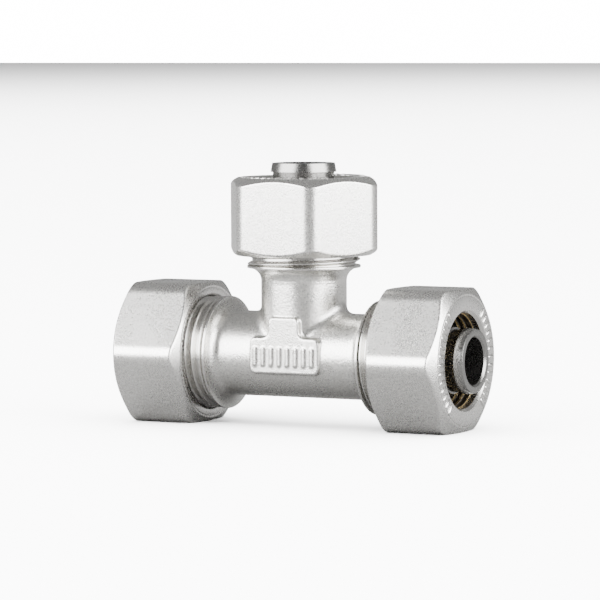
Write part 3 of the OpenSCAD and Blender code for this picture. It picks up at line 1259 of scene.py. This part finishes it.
@dataclass
class Seals:
    """The two O-rings and the washer of one port."""

    port: Port
    cord_radius: float = 0.6
    seat_gap: float = 0.02
    groove_radius: float = 4.85
    washer_inner: float = 5.7
    washer_outer: float = 8.15

    def o_ring(self, place_name: str, palette: Palette) -> bpy.types.Object:
        """One O-ring.

        Args:
            place_name: Either inner or outer.
            palette: The materials.

        Returns:
            The new object.
        """
        low, high = self.port.span(f"o_ring_{place_name}")
        middle = self.groove_radius + self.seat_gap + self.cord_radius
        turns = [2 * math.pi * i / 28 for i in range(28)]
        outline = [
            (middle + self.cord_radius * math.cos(a), (low + high) / 2 + self.cord_radius * math.sin(a))
            for a in turns
        ]
        return Lathe(
            f"seal_{place_name}_{self.port.side.label}", outline, steps=120,
            materials=(palette.rubber,),
        ).build(self.port.place)

    def washer(self, palette: Palette) -> bpy.types.Object:
        """The insulating washer, with broken edges."""
        low, high = self.port.span("insulating_washer")
        outline = filleted([
            (self.washer_inner, low), (self.washer_outer, low),
            (self.washer_outer, high), (self.washer_inner, high),
        ], 0.15, 4)
        return Lathe(
            f"washer_{self.port.side.label}", outline, steps=120, materials=(palette.plastic,),
        ).build(self.port.place)


# ---- Studio --------------------------------------------------------------------------


@dataclass
class Studio:
    """Pale floor, soft lights and the camera.

    Attributes:
        target_height: Height of the crossing of the port axes, in millimetres.
    """

    target_height: float
    azimuth: float = 27.2
    elevation: float = 4.76
    roll: float = 0.26
    distance: float = 0.704
    lens: float = 238.0
    aim_right: float = -0.73
    aim_up: float = 9.72
    backdrop: float = 16.0
    room: float = 0.40
    gap: float = 0.06
    floor_bounce: float = 0.09

    def axes(self) -> tuple[Vector, Vector, Vector]:
        """Camera's right, up and backward directions."""
        a, e = math.radians(self.azimuth), math.radians(self.elevation)
        right = Vector((math.cos(a), math.sin(a), 0))
        back = Vector((math.sin(a) * math.cos(e), -math.cos(a) * math.cos(e), math.sin(e)))
        return right, back.cross(right), back

    def camera(self) -> None:
        """Make the camera and set it as the scene's."""
        right, up, back = self.axes()
        centre = Vector((0, 0, self.target_height * MM))
        data = bpy.data.cameras.new("camera")
        data.lens = self.lens
        camera = bpy.data.objects.new("camera", data)
        bpy.context.scene.collection.objects.link(camera)
        camera.location = centre + back * self.distance
        target = centre + (right * self.aim_right + up * self.aim_up) * MM
        look = (target - camera.location).to_track_quat("-Z", "Y").to_matrix().to_4x4()
        turn = Matrix.Rotation(math.radians(-self.roll), 4, "Z")
        camera.matrix_world = Matrix.Translation(camera.location) @ look @ turn
        data.clip_start, data.clip_end = 0.01, 20.0
        bpy.context.scene.camera = camera

    def light(
        self, name: str, azimuth: float, elevation: float, distance: float, size: Point,
        radiance: float,
    ) -> bpy.types.Object:
        """Add one soft box that faces the fitting.

        Args:
            name: Name of the light.
            azimuth: Its direction from the fitting, clockwise from the camera, in degrees.
            elevation: Its height above the horizon, in degrees.
            distance: How far off it is, in metres.
            size: Width and height in metres.
            radiance: How bright its face is.

        Returns:
            The light.
        """
        a, e = math.radians(self.azimuth + azimuth), math.radians(elevation)
        way = Vector((math.sin(a) * math.cos(e), -math.cos(a) * math.cos(e), math.sin(e)))
        data = bpy.data.lights.new(name, "AREA")
        data.shape = "RECTANGLE"
        data.size, data.size_y = size
        data.energy = radiance * math.pi * size[0] * size[1]
        lamp = bpy.data.objects.new(name, data)
        bpy.context.scene.collection.objects.link(lamp)
        lamp.location = Vector((0, 0, self.target_height * MM)) + way * distance
        lamp.rotation_euler = (-way).to_track_quat("-Z", "Y").to_euler()
        return lamp

    def world(self) -> None:
        """Pale surroundings: seen as white, and reflected as the dim room they stand for."""
        world = bpy.data.worlds.new("studio")
        world.use_nodes = True
        tree = world.node_tree
        background = tree.nodes["Background"]
        background.inputs["Color"].default_value = (1.0, 1.0, 1.0, 1.0)
        way = tree.nodes.new("ShaderNodeTexCoord").outputs["Generated"]
        towards = tree.nodes.new("ShaderNodeVectorMath")
        towards.operation = "DOT_PRODUCT"
        front = math.radians(self.azimuth)
        towards.inputs[1].default_value = (math.sin(front), -math.cos(front), 0.0)
        tree.links.new(way, towards.inputs[0])
        room = tree.nodes.new("ShaderNodeMapRange")
        room.interpolation_type = "SMOOTHSTEP"
        room.inputs["From Min"].default_value = 0.5
        room.inputs["From Max"].default_value = 0.95
        room.inputs["To Min"].default_value = self.room
        room.inputs["To Max"].default_value = self.gap
        tree.links.new(towards.outputs["Value"], room.inputs["Value"])
        sight = tree.nodes.new("ShaderNodeLightPath").outputs["Is Camera Ray"]
        strength = tree.nodes.new("ShaderNodeMix")
        tree.links.new(sight, strength.inputs["Factor"])
        tree.links.new(room.outputs["Result"], strength.inputs["A"])
        strength.inputs["B"].default_value = self.backdrop
        tree.links.new(strength.outputs["Result"], background.inputs["Strength"])
        bpy.context.scene.world = world

    def floor(self) -> None:
        """Pale sheet that the fitting stands on, dimmer in reflections than to the eye."""
        mesh = bpy.data.meshes.new("floor")
        reach = 6.0
        mesh.from_pydata(
            [(-reach, -reach, 0), (reach, -reach, 0), (reach, reach, 0), (-reach, reach, 0)],
            [], [(0, 1, 2, 3)],
        )
        material = bpy.data.materials.new("pale_floor")
        material.use_nodes = True
        tree = material.node_tree
        shader = tree.nodes["Principled BSDF"]
        shader.inputs["Roughness"].default_value = 0.9
        shader.inputs["Specular IOR Level"].default_value = 0.0
        sight = tree.nodes.new("ShaderNodeLightPath").outputs["Is Camera Ray"]
        tone = tree.nodes.new("ShaderNodeMix")
        tone.data_type = "RGBA"
        sockets = [item for item in tone.inputs if item.type == "RGBA"]
        sockets[0].default_value = (self.floor_bounce,) * 3 + (1.0,)
        sockets[1].default_value = (0.95, 0.95, 0.95, 1.0)
        tree.links.new(sight, tone.inputs["Factor"])
        result = next(item for item in tone.outputs if item.type == "RGBA")
        tree.links.new(result, shader.inputs["Base Color"])
        mesh.materials.append(material)
        new_object("floor", mesh)

    def build(self) -> None:
        """Set up everything round the fitting."""
        self.camera()
        self.world()
        self.floor()
        self.light("left_box", -62, 9, 0.9, (1.0, 1.05), 15.0)
        self.light("right_box", 58, 9, 0.9, (1.0, 1.05), 16.0)
        overhead = self.light("floor_light", 180, 85, 2.5, (6.0, 6.0), 14.0)
        overhead.visible_glossy = False


# ---- Assembly ------------------------------------------------------------------------


def fit(piece: bpy.types.Object, body: str, slot: str, *nodes: str) -> None:
    """Hang a piece on the body that it moves with and hide the nodes that it stands for.

    Args:
        piece: The piece.
        body: The body that it moves with.
        slot: Not used.
        *nodes: The nodes that it stands for.
    """
    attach(piece, body)
    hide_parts(*nodes)
    log.info("%s rides on %s, %d faces", piece.name, body, len(piece.data.polygons))


def main() -> None:
    """Build the fitting piece by piece, then the studio."""
    logging.basicConfig(level=logging.INFO, format="%(message)s")
    palette = Palette()
    threads, marks, thread = ThreadTree(), MarkTree(), Thread()
    height = centre_height()
    middle = Port(Side.TOP, height)
    forging = Forging().build("tee_forging", middle.place, palette.blasted)
    fit(forging, "tee", "blasted_nickel", "tee_body")
    for side in Side:
        port, label = Port(side, height), side.label
        end = TurnedEnd(port, thread).build(threads, palette)
        fit(end, "tee", "blasted_nickel", "tee_body")
        nut = UnionNut(port, thread).build(threads, marks, palette)
        fit(nut, f"nut_{label}", "satin_nickel", f"compression_nut_{label}")
        ring = SplitRing(port).build(palette)
        fit(ring, f"ring_{label}", "ring_brass", f"split_ring_{label}")
        seals = Seals(port)
        for place_name in ("inner", "outer"):
            seal = seals.o_ring(place_name, palette)
            fit(seal, "tee", "seal_rubber", f"o_ring_{place_name}_{label}")
        fit(seals.washer(palette), "tee", "washer_plastic", f"insulating_washer_{label}")
    Studio(height).build()


if __name__ == "__main__":
    main()
